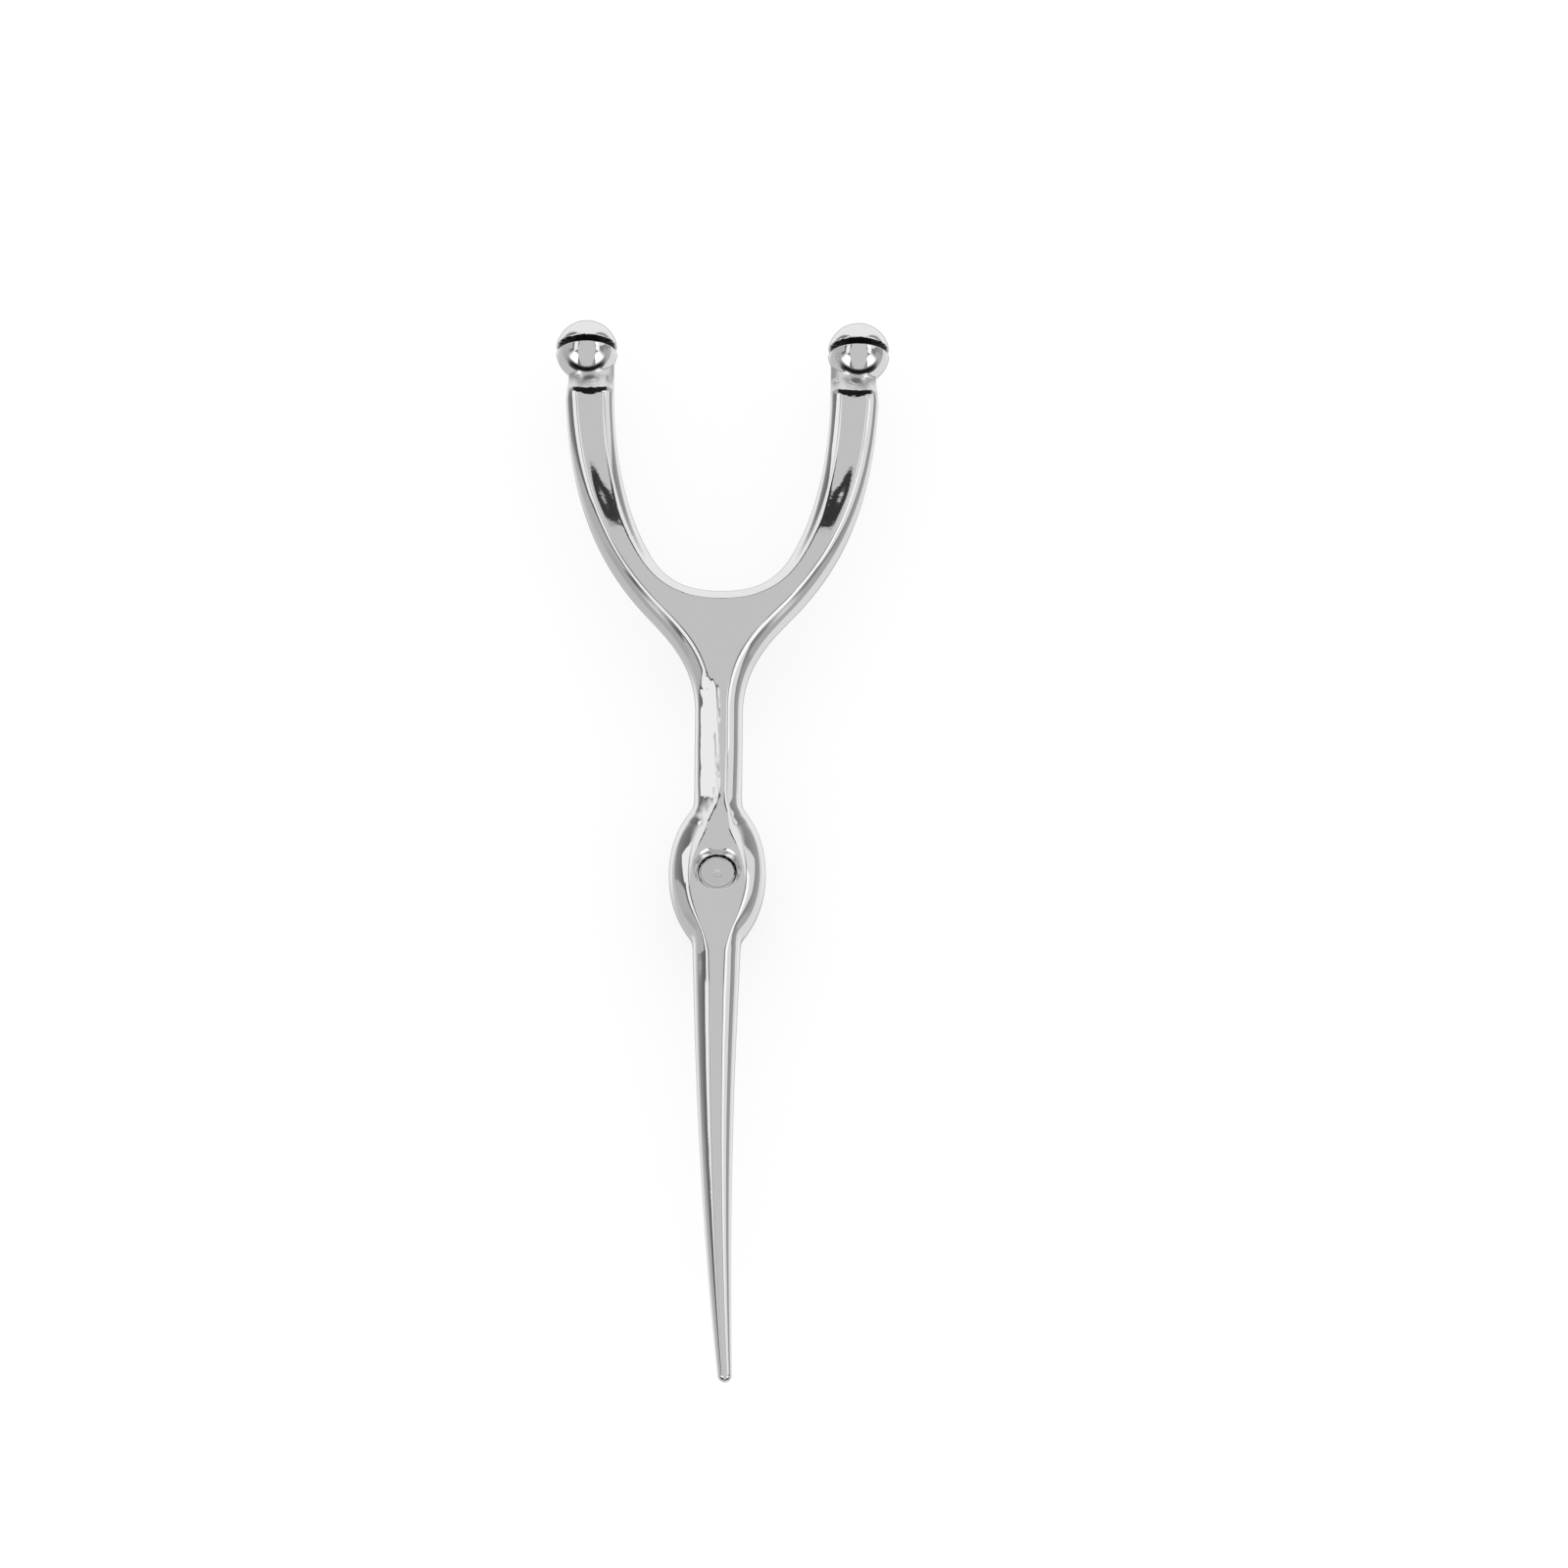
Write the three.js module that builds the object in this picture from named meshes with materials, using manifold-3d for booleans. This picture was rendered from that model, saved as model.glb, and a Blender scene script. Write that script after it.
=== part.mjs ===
// Y-fork floss holder, in millimetres, +Z up.
// One die-cast fork carries two grooved thread balls, an oval boss and a round pick tail. A thumb screw
// goes through the boss from the back, and its head and washer pinch the thread against the casting.
// The fork lies in the XY plane with its balls towards +Y, its tail towards -Y and the screw head underneath.
import * as THREE from 'three';
import { mergeVertices } from 'three/addons/utils/BufferGeometryUtils.js';
import Module from 'manifold-3d';

const wasm = await Module();
wasm.setup();

// ---- Driving dimensions -------------------------------------------------------------------------
const LENGTH = 80;              // tip of the tail to the tops of the balls
const WIDTH = 23;               // over the two balls

const BALL_R = 2.125;
const GROOVE_WIDTH = 0.5;       // thread groove, cut right round each ball
const GROOVE_CORE_R = 0.9;

const FORK_HALF_T = 1.45;       // half the thickness of web and neck
const ARM_TAPER = 0.67;         // the arms lose this much of it on their way up
const TAPER_LOW_Y = 58.2;
const TAPER_TOP_Y = 73.5;
const BOSS_RISE = 0.35;         // extra half thickness at the boss
const EDGE_RADIUS = 1.35;       // edge rounding of stem and neck, measured across the fork
const ARM_EDGE_RADIUS = 1;      // the arms keep a broader flat
const ARM_EDGE_LOW_Y = 53;      // the rounding changes between these two heights
const ARM_EDGE_TOP_Y = 61;
const NECK_HALF_W = 1.63;

const TIP_HALF_W = 0.45;        // the tail is a round pick that swells as TIP + GROWTH * y ^ POWER
const TAIL_GROWTH = 0.0485;
const TAIL_POWER = 0.92;
const NOSE_LENGTH = 0.45;       // rounded end of the pick
const TAIL_TOP_Y = 32;
const LEAN_START_Y = 27;        // below this the tail bends towards +X
const LEAN_AT_TIP = 0.885;

const BOSS_Y = 37.9;
const BOSS_HALF_W = 3.3;
const BOSS_HALF_L = 5.5;
const BOSS_RISE_HALF_L = 9;     // length over which the thickness rises
const BOSS_BLEND = 0.35;        // fillet between boss and stem
const CROWN = { y: 36.9, endW: 0.6, gain: 1.4, halfL: 5.5, fade: 0.9 };   // lens-shaped flat of the boss
const SCREW_Y = 37.55;          // screw axis

const HOLE_R = 1.36;            // tapped M3 hole, at the mean height of its thread
const SINK_R = 1.6;             // countersink at the front face
const SINK_DEPTH = 0.55;
const SEAT_R = 2.9;             // spot face under the washer
const SEAT_Z = -1.65;

const WASHER = { r: 2.2, bore: 1.55, top: -1.7, thick: 0.35 };
const KNOB = { r: 2.7, top: -2.1, height: 1.8, chamfer: 0.25, grips: 18, gripDepth: 0.16 };
const SHANK = { r: 1.28, endR: 1.14, chamfer: 0.2, endZ: 1.25 };

const RING_STEPS = 4;           // facets round each edge
const FACE_STEPS = 2;           // columns across each flat
const ROUND_STEPS = 36;         // facets round the turned pieces

// Half outline of the fork above the boss, from the neck up the outside of the arm and down its inside.
const FLARE_Y = 50.17;
const FLARE = bezier([NECK_HALF_W, FLARE_Y], [NECK_HALF_W, 54.11], [3.864, 56.22], [5.283, 57.9]);
const OUTER = bezier([5.283, 57.9], [9.105, 62.42], [10.852, 67.77], [10.852, 77.24]);
const INNER_LOW = bezier([0, 59.27], [2.276, 59.27], [3.73, 59.98], [4.818, 62.02]);
const INNER_HIGH = bezier([4.818, 62.02], [6.46, 65.1], [7.485, 69.58], [7.485, 75.21]);
const OUTER_SPLIT = 0.22;       // point of the outer curve that faces the join of the two inner curves
const ARM_TOP_Y = 74;           // the arm's flats stop here

// Oval collar between arm and ball. The arm steps up to its crest, which falls away like a saddle.
const COLLAR = { stepY: 74.18, stepL: 0.25, bow: 0.24, crestT: 1.3, neckT: 0.62, inward: 0.08 };

const GROOVE_LIP = Math.asin(GROOVE_WIDTH / 2 / BALL_R);
const BALL_X = WIDTH / 2 - BALL_R * Math.cos(GROOVE_LIP);
const BALL_Y = LENGTH - BALL_R;
const NECK_Y = BALL_Y - 2.05;   // lowest line of the saddle
const TONGUE_Y = BALL_Y - 0.9;  // the collar closes inside the ball
const COLLAR_LEVELS = [74.1, 74.18, 74.3, 74.43, 74.6, 74.8, 75.05, 75.4, NECK_Y, TONGUE_Y];
const ORIGIN_Y = LENGTH / 2;
const MID_Z = KNOB.height - KNOB.top;

// ---- Curves and sections ------------------------------------------------------------------------
function bezier(...points) {
  return new THREE.CubicBezierCurve(...points.map(([x, y]) => new THREE.Vector2(x, y)));
}

function parameterAtY(curve, y) {
  let low = 0;
  let high = 1;
  for (let i = 0; i < 40; i += 1) {
    const mid = (low + high) / 2;
    if (curve.getPoint(mid).y < y) low = mid;
    else high = mid;
  }
  return low;
}

function smoothMax(a, b, blend) {
  return (a + b + Math.hypot(a - b, blend)) / 2;
}

function bump(distance, halfLength) {
  const v = Math.min(Math.abs(distance) / halfLength, 1);
  return (1 - v * v) ** 2;
}

const { smoothstep } = THREE.MathUtils;

function noseFactor(y) {
  const v = 1 - Math.min(y / NOSE_LENGTH, 1);
  return Math.sqrt(1 - v * v);
}

function tailHalfWidth(y) {
  return TIP_HALF_W + TAIL_GROWTH * y ** TAIL_POWER;
}

function stemHalfWidth(y) {
  const stem = Math.min(tailHalfWidth(y), NECK_HALF_W);
  const v = Math.min(Math.abs(y - BOSS_Y) / BOSS_HALF_L, 1);
  const boss = BOSS_HALF_W * Math.sqrt(1 - v * v);
  const width = boss > 0 ? smoothMax(stem, boss, BOSS_BLEND) - BOSS_BLEND ** 2 / (4 * BOSS_HALF_W) : stem;
  return Math.max(width, stem) * noseFactor(y);
}

function halfThickness(y) {
  const roundness = 0.98 - 0.07 * Math.min(y / TAIL_TOP_Y, 1);
  const stem = Math.min(tailHalfWidth(y) * roundness, FORK_HALF_T)
    - ARM_TAPER * smoothstep(y, TAPER_LOW_Y, TAPER_TOP_Y);
  return (stem + BOSS_RISE * bump(y - BOSS_Y, BOSS_RISE_HALF_L)) * noseFactor(y);
}

// The edge rounding leaves a lens-shaped flat on the boss, and is tighter on the arms.
function edgeRadius(y, halfWidth) {
  const armward = smoothstep(y, ARM_EDGE_LOW_Y, ARM_EDGE_TOP_Y);
  const plain = THREE.MathUtils.lerp(EDGE_RADIUS, ARM_EDGE_RADIUS, armward);
  const fromCrown = Math.abs(y - CROWN.y);
  const v = Math.min(fromCrown / CROWN.halfL, 1);
  const flat = CROWN.endW + CROWN.gain * (1 - v * v) ** 1.5;
  const near = smoothstep(CROWN.halfL + CROWN.fade - fromCrown, 0, 1.2);
  return Math.min(0.9 * halfWidth, THREE.MathUtils.lerp(plain, (halfWidth - flat) / 0.75, near));
}

// Points of a rounded edge, from the parting line up to the flat: the outline point moves inwards along
// its normal while the height climbs a quarter ellipse.
function edgePoints(point, normal, halfWidth) {
  const radius = edgeRadius(point.y, halfWidth);
  const list = [new THREE.Vector3(point.x, point.y, 0)];
  for (let k = 0; k <= RING_STEPS; k += 1) {
    const angle = (k / RING_STEPS) * Math.PI / 2;
    const inset = radius * (1 - Math.cos(angle));
    const x = point.x - normal.x * inset;
    const y = point.y - normal.y * inset;
    const t = halfThickness(y);
    list.push(new THREE.Vector3(x, y, t * (0.07 + 0.93 * Math.sin(angle))));
  }
  return list;
}

function acrossFlat(from, to, steps) {
  const list = [];
  for (let i = 1; i < steps; i += 1) {
    const p = new THREE.Vector3().lerpVectors(from, to, i / steps);
    p.z = halfThickness(p.y);
    list.push(p);
  }
  return list;
}

// Unit normal of a cubic curve, exact at its ends so that neighbouring grids share their points.
function normalOf({ v0, v1, v2, v3 }, u, side) {
  const slope = (a, b, c, d) => 3 * (1 - u) ** 2 * (b - a) + 6 * (1 - u) * u * (c - b) + 3 * u * u * (d - c);
  const along = new THREE.Vector2(slope(v0.x, v1.x, v2.x, v3.x), slope(v0.y, v1.y, v2.y, v3.y)).normalize();
  return new THREE.Vector2(along.y * side, -along.x * side);
}

// ---- Casting ------------------------------------------------------------------------------------
// Rows of points over one quarter of the casting (x >= 0, z >= 0), each from the outer parting line inwards.
function stemRows() {
  const stations = [0, 0.03, 0.1, 0.22, 0.4];
  for (let i = 0; i <= 8; i += 1) stations.push(0.8 + i * 3.8375);
  for (let i = 1; i <= 18; i += 1) stations.push(31.5 + i * 0.72);
  stations.push(47.4);
  const rows = [];
  for (const y of stations) {
    const d = 0.01;
    const slope = y > d ? (stemHalfWidth(y + d) - stemHalfWidth(y - d)) / (2 * d) : 50;
    const normal = new THREE.Vector2(1, -slope).normalize();
    const edge = edgePoints(new THREE.Vector2(stemHalfWidth(y), y), normal, stemHalfWidth(y));
    rows.push([edge, edge.at(-1).y]);
  }
  const flareSteps = 9;
  const crotchTip = INNER_LOW.getPoint(0).y;
  const crotchY = crotchTip - edgeRadius(crotchTip, FORK_HALF_T * 2);
  for (let i = 0; i < flareSteps; i += 1) {
    const u = i / flareSteps;
    const point = FLARE.getPoint(u);
    const edge = edgePoints(point, normalOf(FLARE, u, 1), point.x);
    rows.push([edge, THREE.MathUtils.lerp(edge.at(-1).y, crotchY, u ** 3)]);
  }
  rows.push([edgePoints(OUTER.getPoint(0), normalOf(OUTER, 0, 1), FORK_HALF_T * 2), crotchY]);
  return rows.map(([edge, axisY]) => {
    const centre = new THREE.Vector3(0, axisY, halfThickness(axisY));
    return [...edge, ...acrossFlat(edge.at(-1), centre, FACE_STEPS), centre];
  });
}

function armRows() {
  const pairs = [];
  const lowSteps = 7;
  const highSteps = 11;
  const outerEnd = parameterAtY(OUTER, ARM_TOP_Y);
  const innerEnd = parameterAtY(INNER_HIGH, ARM_TOP_Y);
  for (let i = 0; i < lowSteps; i += 1) {
    const s = i / lowSteps;
    pairs.push([s * OUTER_SPLIT, INNER_LOW, s]);
  }
  for (let i = 0; i <= highSteps; i += 1) {
    const s = i / highSteps;
    pairs.push([THREE.MathUtils.lerp(OUTER_SPLIT, outerEnd, s), INNER_HIGH, s * innerEnd]);
  }
  return pairs.map(([uOuter, inner, uInner]) => {
    const outerEdge = edgePoints(OUTER.getPoint(uOuter), normalOf(OUTER, uOuter, 1), FORK_HALF_T * 2);
    const innerEdge = edgePoints(inner.getPoint(uInner), normalOf(inner, uInner, -1), FORK_HALF_T * 2);
    return [...outerEdge, ...acrossFlat(outerEdge.at(-1), innerEdge.at(-1), FACE_STEPS), ...innerEdge.reverse()];
  });
}

// Rows across the collar, from the arm's last row to a flat end that lies inside the ball.
function collarRows(armEnd) {
  const centre = (armEnd[0].x + armEnd.at(-1).x) / 2;
  const half = (armEnd[0].x - armEnd.at(-1).x) / 2;
  const crestY = COLLAR.stepY + COLLAR.stepL;
  const rows = COLLAR_LEVELS.map((level) => armEnd.map((p) => {
    const aside = (p.x - centre) / half;
    const round = Math.sqrt(Math.max(1 - aside * aside, 0));
    const settled = smoothstep(level, ARM_TOP_Y, NECK_Y);
    const x = centre + aside * half - COLLAR.inward * settled * (1 + aside);
    const y = level + (p.y - ARM_TOP_Y) * (1 - settled);
    const foot = COLLAR.stepY + COLLAR.bow * (aside * half) ** 2;
    const climbed = THREE.MathUtils.clamp((y - foot) / COLLAR.stepL, 0, 1);
    const rise = Math.max((NECK_Y - y) / (NECK_Y - crestY), 0);
    const saddle = COLLAR.neckT + (COLLAR.crestT - COLLAR.neckT) * rise;
    const z = THREE.MathUtils.lerp(p.z, saddle * round ** (1 + 0.6 * settled), climbed);
    return new THREE.Vector3(x, y, round > 0.01 ? z : 0);
  }));
  rows.push(rows.at(-1).map((p) => new THREE.Vector3(p.x, p.y + 0.01, 0)));
  return rows;
}

// A ball with its thread groove, turned about an axis along Y.
function ballSolid(side) {
  const steps = 6;
  const lower = [];
  for (let i = 0; i <= steps; i += 1) {
    const angle = THREE.MathUtils.lerp(Math.PI / 2, GROOVE_LIP, i / steps);
    lower.push(new THREE.Vector2(i > 0 ? BALL_R * Math.cos(angle) : 0, -BALL_R * Math.sin(angle)));
  }
  lower.push(new THREE.Vector2(GROOVE_CORE_R, -GROOVE_WIDTH / 2));
  const upper = lower.map((p) => new THREE.Vector2(p.x, -p.y)).reverse();
  const geometry = new THREE.LatheGeometry([...lower, ...upper], ROUND_STEPS);
  return toSolid(geometry.translate(side * BALL_X, BALL_Y, 0));
}

// Triangles of a grid of rows, mirrored in X and Z so that the four quarters close into one shell.
function mirroredShell(grids) {
  const positions = [];
  const mirrors = [[1, 1], [-1, 1], [1, -1], [-1, -1]];
  const addTriangle = (a, b, c) => {
    for (const [mx, mz] of mirrors) {
      const corners = mx * mz > 0 ? [a, b, c] : [a, c, b];
      for (const p of corners) positions.push(p.x * mx + lean(p.y), p.y, p.z * mz);
    }
  };
  for (const rows of grids) {
    for (let i = 0; i + 1 < rows.length; i += 1) {
      for (let j = 0; j + 1 < rows[i].length; j += 1) {
        const [a, b, c, d] = [rows[i][j], rows[i + 1][j], rows[i + 1][j + 1], rows[i][j + 1]];
        addTriangle(a, b, c);
        addTriangle(a, c, d);
      }
    }
  }
  const geometry = new THREE.BufferGeometry();
  geometry.setAttribute('position', new THREE.Float32BufferAttribute(positions, 3));
  return geometry;
}

function lean(y) {
  const v = Math.max(1 - y / LEAN_START_Y, 0);
  return LEAN_AT_TIP * v * v;
}

// ---- Solids -------------------------------------------------------------------------------------
function toSolid(geometry) {
  const plain = geometry.clone();
  plain.deleteAttribute('normal');
  plain.deleteAttribute('uv');
  const merged = mergeVertices(plain, 1e-4);
  const index = merged.index.array;
  const kept = [];
  for (let i = 0; i < index.length; i += 3) {
    const [a, b, c] = [index[i], index[i + 1], index[i + 2]];
    if (a !== b && b !== c && c !== a) kept.push(a, b, c);
  }
  const mesh = { numProp: 3, vertProperties: merged.attributes.position.array, triVerts: new Uint32Array(kept) };
  return new wasm.Manifold(new wasm.Mesh(mesh));
}

function toGeometry(solid) {
  const mesh = solid.getMesh();
  const geometry = new THREE.BufferGeometry();
  geometry.setAttribute('position', new THREE.BufferAttribute(mesh.vertProperties, 3));
  geometry.setIndex(new THREE.BufferAttribute(mesh.triVerts, 1));
  return geometry;
}

// A lathe about the screw axis, which runs along Z; the profile lists [radius, z] from the bottom up.
function turned(profile) {
  const points = profile.map(([r, z]) => new THREE.Vector2(r, z));
  const geometry = new THREE.LatheGeometry(points, ROUND_STEPS);
  return geometry.rotateX(Math.PI / 2).translate(0, SCREW_Y, 0);
}

function castingGeometry() {
  const arms = armRows();
  let casting = toSolid(mirroredShell([stemRows(), [...arms, ...collarRows(arms.at(-1))]]));
  for (const side of [-1, 1]) casting = casting.add(ballSolid(side));
  const front = FORK_HALF_T + BOSS_RISE;
  const hole = [[0, -3], [HOLE_R, -3], [HOLE_R, front - SINK_DEPTH], [SINK_R, front], [SINK_R, 3], [0, 3]];
  const seat = [[0, -3], [SEAT_R, -3], [SEAT_R, SEAT_Z], [0, SEAT_Z]];
  for (const cutter of [hole, seat]) casting = casting.subtract(toSolid(turned(cutter)));
  return toGeometry(casting);
}

function washerGeometry() {
  const bottom = WASHER.top - WASHER.thick;
  return turned([[WASHER.bore, bottom], [WASHER.r, bottom], [WASHER.r, WASHER.top], [WASHER.bore, WASHER.top],
    [WASHER.bore, bottom]]);
}

// Head and shank are turned from one bar: a head with gripping flutes, a plain shank and a chamfered end.
function screwGeometry() {
  const bottom = KNOB.top - KNOB.height;
  const profile = [[0, bottom], [KNOB.r - KNOB.chamfer, bottom], [KNOB.r, bottom + KNOB.chamfer],
    [KNOB.r, KNOB.top - KNOB.chamfer], [KNOB.r - KNOB.chamfer, KNOB.top], [SHANK.r, KNOB.top],
    [SHANK.r, SHANK.endZ - SHANK.chamfer], [SHANK.endR, SHANK.endZ], [0, SHANK.endZ]];
  let screw = toSolid(turned(profile));
  const fluteR = 0.35;
  for (let i = 0; i < KNOB.grips; i += 1) {
    const angle = 2 * Math.PI * i / KNOB.grips;
    const distance = KNOB.r + fluteR - KNOB.gripDepth;
    const [x, y] = [distance * Math.cos(angle), SCREW_Y + distance * Math.sin(angle)];
    const flute = new THREE.CylinderGeometry(fluteR, fluteR, KNOB.height + 0.6, 8).rotateX(Math.PI / 2);
    flute.translate(x, y, KNOB.top - KNOB.height / 2);
    screw = screw.subtract(toSolid(flute));
  }
  return toGeometry(screw);
}

// ---- Assembly -----------------------------------------------------------------------------------
const plating = new THREE.MeshStandardMaterial({ color: 0xd9dadb, metalness: 1, roughness: 0.08 });
const turnedSteel = new THREE.MeshStandardMaterial({ color: 0xc4c5c6, metalness: 1, roughness: 0.28 });
const washerSteel = new THREE.MeshStandardMaterial({ color: 0xb9babc, metalness: 1, roughness: 0.32 });

const holder = new THREE.Group();
const pieces = [
  ['fork_body', castingGeometry(), plating],
  ['clamp_washer', washerGeometry(), washerSteel],
  ['thumb_screw', screwGeometry(), turnedSteel],
];
for (const [name, geometry, material] of pieces) {
  const mesh = new THREE.Mesh(geometry, material);
  mesh.name = name;
  mesh.position.set(0, -ORIGIN_Y, MID_Z);
  holder.add(mesh);
}

export default holder;
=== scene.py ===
"""Looks of the Y-fork floss holder: a polished casting with grooved balls, its thumb screw and washer.

Shapes are worked out in millimetres in the casting's own frame (x across, y up from the tip of the
tail, z from the parting plane towards the front) and are then put into the CAD frame.
"""
import math
import bmesh
import bpy
import numpy as np
from mathutils import Matrix, Vector


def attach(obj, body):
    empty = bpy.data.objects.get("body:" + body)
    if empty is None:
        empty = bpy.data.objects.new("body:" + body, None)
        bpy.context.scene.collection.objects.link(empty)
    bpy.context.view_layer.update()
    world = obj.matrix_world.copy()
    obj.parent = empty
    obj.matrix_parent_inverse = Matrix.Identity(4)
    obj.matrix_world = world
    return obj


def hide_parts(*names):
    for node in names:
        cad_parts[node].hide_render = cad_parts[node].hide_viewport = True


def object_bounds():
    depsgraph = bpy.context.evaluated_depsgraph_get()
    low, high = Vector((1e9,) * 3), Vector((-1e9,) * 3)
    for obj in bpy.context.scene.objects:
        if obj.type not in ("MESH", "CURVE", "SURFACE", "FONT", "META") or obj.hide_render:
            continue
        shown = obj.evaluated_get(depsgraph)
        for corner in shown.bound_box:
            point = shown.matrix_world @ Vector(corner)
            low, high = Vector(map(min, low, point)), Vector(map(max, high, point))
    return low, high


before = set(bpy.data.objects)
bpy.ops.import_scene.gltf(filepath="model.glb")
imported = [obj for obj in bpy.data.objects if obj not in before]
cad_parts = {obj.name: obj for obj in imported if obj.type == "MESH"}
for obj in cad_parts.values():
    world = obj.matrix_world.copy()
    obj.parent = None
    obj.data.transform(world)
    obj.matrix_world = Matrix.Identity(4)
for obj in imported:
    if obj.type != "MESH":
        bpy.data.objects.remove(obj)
cad_low, cad_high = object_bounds()

MM = 0.001

# ---- Driving dimensions, in millimetres -----------------------------------------------------------
LENGTH = 80.0
WIDTH = 23.0
BALL_R = 2.125
GROOVE_W = 0.5
GROOVE_CORE_R = 0.9
HALF_T = 1.45             # half thickness of the flat stretches
ARM_TAPER = 0.67          # the arms get thinner towards the balls
TAPER_LOW_Y, TAPER_TOP_Y = 58.2, 73.5
BOSS_RISE = 0.35
EDGE_R = 1.35
ARM_EDGE_R = 1.0          # the arms keep a broader flat
ARM_EDGE_LOW_Y, ARM_EDGE_TOP_Y = 53, 61
EDGE_SHARE = 0.9          # the most of a half width that an edge rounding takes
PARTING_SHARE = 0.07      # the share of the thickness that stands upright at the parting line
NECK_W = 1.63
TIP_W = 0.45
TAIL_GROWTH, TAIL_POWER = 0.0485, 0.92
TAIL_DEPTH_AT_TIP, TAIL_FLATTENING = 0.98, 0.07     # the tail's depth over its width
NOSE = 0.45
TAIL_TOP_Y = 32.0
LEAN_START_Y, LEAN_AT_TIP = 27.0, 0.885
BOSS_Y, BOSS_W, BOSS_L, BOSS_RISE_L, BOSS_BLEND = 37.9, 3.3, 5.5, 9.0, 0.35
# the boss's flat crown is a lens shape, and the rounding beside it eases out beyond its ends
CROWN_Y, CROWN_W, CROWN_L, CROWN_MIN = 36.9, 1.4, 5.5, 0.6
CROWN_FADE, CROWN_EASE, CROWN_SPREAD = 0.9, 1.2, 0.75
SCREW_Y = 37.55
HOLE_R, SINK_R, SINK_DEPTH = 1.34, 1.6, 0.54
SEAT_R, SEAT_Z = 2.9, -1.65
FLARE_Y = 50.17
OUTER_SPLIT = 0.22
ARM_TOP_Y = 74.0

# collar between arm and ball
CREST_T = 1.3             # half thickness at its crest
STEP_Y, STEP_L = 74.18, 0.25
STEP_BOW = 0.24           # the step curves back towards the ball at its sides
NECK_BELOW, TONGUE_BELOW = 2.05, 0.9    # from the ball's centre to the end of the saddle, and of the collar
NECK_T = 0.62
INWARD = 0.08             # the collar is a little narrower than the arm, and sits a little inwards

# thumb screw and washer
KNOB_R, KNOB_TOP, KNOB_H, KNOB_CHAMFER, GRIPS, GRIP_DEPTH = 2.7, -2.1, 1.8, 0.25, 18, 0.16
CREST_R, ROOT_R, PITCH, SCREW_END, END_CHAMFER = 1.27, 1.05, 0.5, 1.25, 0.14
WASHER_R, WASHER_BORE, WASHER_TOP, WASHER_T = 2.2, 1.55, -1.7, 0.35

# fineness of the meshes
RING, FACE = 14, 12
CROTCH_STEPS, LOW_ARM_STEPS, ARM_STEPS = 44, 28, 70
BALL_SEGMENTS, BORE_SEGMENTS, WASHER_SEGMENTS, SCREW_SEGMENTS = 180, 128, 144, 216

GROOVE_LIP = math.asin(GROOVE_W / 2 / BALL_R)
BALL_X = WIDTH / 2 - BALL_R * math.cos(GROOVE_LIP)
BALL_Y = LENGTH - BALL_R
NECK_Y = BALL_Y - NECK_BELOW
TONGUE_Y = BALL_Y - TONGUE_BELOW
MID_Z = KNOB_H - KNOB_TOP
TIP_Y = cad_low.y / MM    # the tip of the tail in the CAD frame


# ---- Curves and sections ---------------------------------------------------------------------------
class Bezier:
    """A cubic curve in the plane of the casting."""

    def __init__(self, *points):
        self.p = np.array(points, float)

    def at(self, t):
        a, b, c, d = self.p
        s = 1 - t
        return s**3 * a + 3 * s * s * t * b + 3 * s * t * t * c + t**3 * d

    def normal(self, t, side):
        a, b, c, d = self.p
        s = 1 - t
        g = 3 * s * s * (b - a) + 6 * s * t * (c - b) + 3 * t * t * (d - c)
        g /= np.hypot(*g)
        return np.array([g[1] * side, -g[0] * side])

    def parameter_at_y(self, y):
        low, high = 0.0, 1.0
        for _ in range(40):    # halvings
            mid = (low + high) / 2
            low, high = (mid, high) if self.at(mid)[1] < y else (low, mid)
        return low


FLARE = Bezier((NECK_W, FLARE_Y), (NECK_W, 54.11), (3.864, 56.22), (5.283, 57.9))
OUTER = Bezier((5.283, 57.9), (9.105, 62.42), (10.852, 67.77), (10.852, 77.24))
INNER_LOW = Bezier((0, 59.27), (2.276, 59.27), (3.73, 59.98), (4.818, 62.02))
INNER_HIGH = Bezier((4.818, 62.02), (6.46, 65.1), (7.485, 69.58), (7.485, 75.21))


def smooth_max(a, b, blend):
    """The larger of two numbers, with the corner rounded over about blend."""
    return (a + b + np.hypot(a - b, blend)) / 2


def smooth_min(a, b, blend):
    return (a + b - np.hypot(a - b, blend)) / 2


def smooth_step(x, low, high):
    t = np.clip((x - low) / (high - low), 0, 1)
    return t * t * (3 - 2 * t)


def bump(distance, half_length):
    """1 at no distance, falling smoothly to 0 at the half length."""
    v = np.minimum(np.abs(distance) / half_length, 1)
    return (1 - v * v) ** 2


def nose_factor(y):
    """Rounds off the tip of the tail."""
    v = 1 - min(y / NOSE, 1)
    return math.sqrt(max(1 - v * v, 0))


def tail_half_width(y):
    return TIP_W + TAIL_GROWTH * max(y, 0) ** TAIL_POWER


def stem_half_width(y):
    """Tail and neck, with the oval boss blended in."""
    stem = min(tail_half_width(y), NECK_W)
    v = min(abs(y - BOSS_Y) / BOSS_L, 1)
    boss = BOSS_W * math.sqrt(1 - v * v)
    if boss > 0:
        stem = max(stem, smooth_max(stem, boss, BOSS_BLEND) - BOSS_BLEND**2 / (4 * BOSS_W))
    return stem * nose_factor(y)


def half_thickness(y):
    """From the parting plane to the flats."""
    depth = TAIL_DEPTH_AT_TIP - TAIL_FLATTENING * min(y / TAIL_TOP_Y, 1)
    stem = min(tail_half_width(y) * depth, HALF_T)
    stem -= ARM_TAPER * smooth_step(y, TAPER_LOW_Y, TAPER_TOP_Y)
    return (stem + BOSS_RISE * bump(y - BOSS_Y, BOSS_RISE_L)) * nose_factor(y)


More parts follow.
